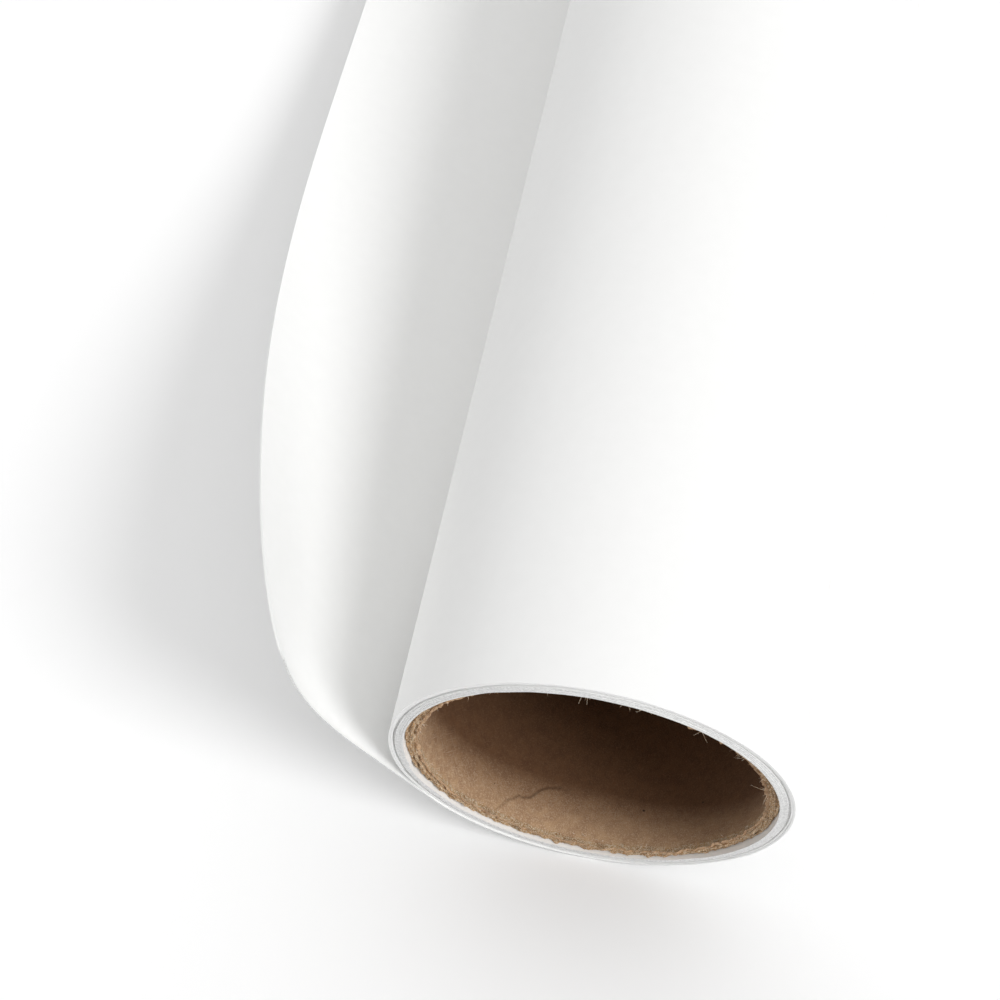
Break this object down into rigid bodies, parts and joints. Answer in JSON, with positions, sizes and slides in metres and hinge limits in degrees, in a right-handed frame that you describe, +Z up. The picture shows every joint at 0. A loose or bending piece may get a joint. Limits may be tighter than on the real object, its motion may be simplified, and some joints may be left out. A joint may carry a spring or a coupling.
{
  "type": "backdrop paper roll",
  "caption": "Roll of white seamless backdrop paper on a spiral-wound board tube, lying down with the free end of the sheet loose and one corner lifted.",
  "frame": {"origin": "on the tube's axis, at the middle of its length", "axes": "+Z up, +Y along the roll away from the end with the lifted corner, free end of the sheet on the -X side"},
  "size_m": [0.0983, 0.66, 0.059],
  "materials": {
    "backdrop_paper": "matte white uncoated",
    "kraft_board": "brown spiral-wound board",
    "liner_paper": "light brown smooth liner",
    "tape_film": "double-sided tape"
  },
  "bodies": {
    "roll": {"core_liner_ply": "liner_paper", "core_body_ply_inner": "kraft_board", "core_body_ply_middle": "kraft_board", "core_body_ply_outer": "kraft_board", "core_cover_ply": "kraft_board", "core_tape": "tape_film", "wound_sheet": "backdrop_paper"},
    "outer_sheet": {"outer_turn": "backdrop_paper", "leaf_base": "backdrop_paper"},
    "corner": {"leaf_corner": "backdrop_paper"}
  },
  "joints": [
    {"name": "wrap_turn", "type": "hinge", "parent": "roll", "child": "outer_sheet", "pos_m": [0, 0, 0], "axis": [0, 1, 0], "continuous": true},
    {"name": "corner_bend", "type": "hinge", "parent": "outer_sheet", "child": "corner", "pos_m": [-0.03493, -0.33, -0.00266], "axis": [-0.2397, 0.9662, -0.0952], "range_deg": [-20, 25], "stiffness_Nm_per_rad": 0.04}
  ]
}
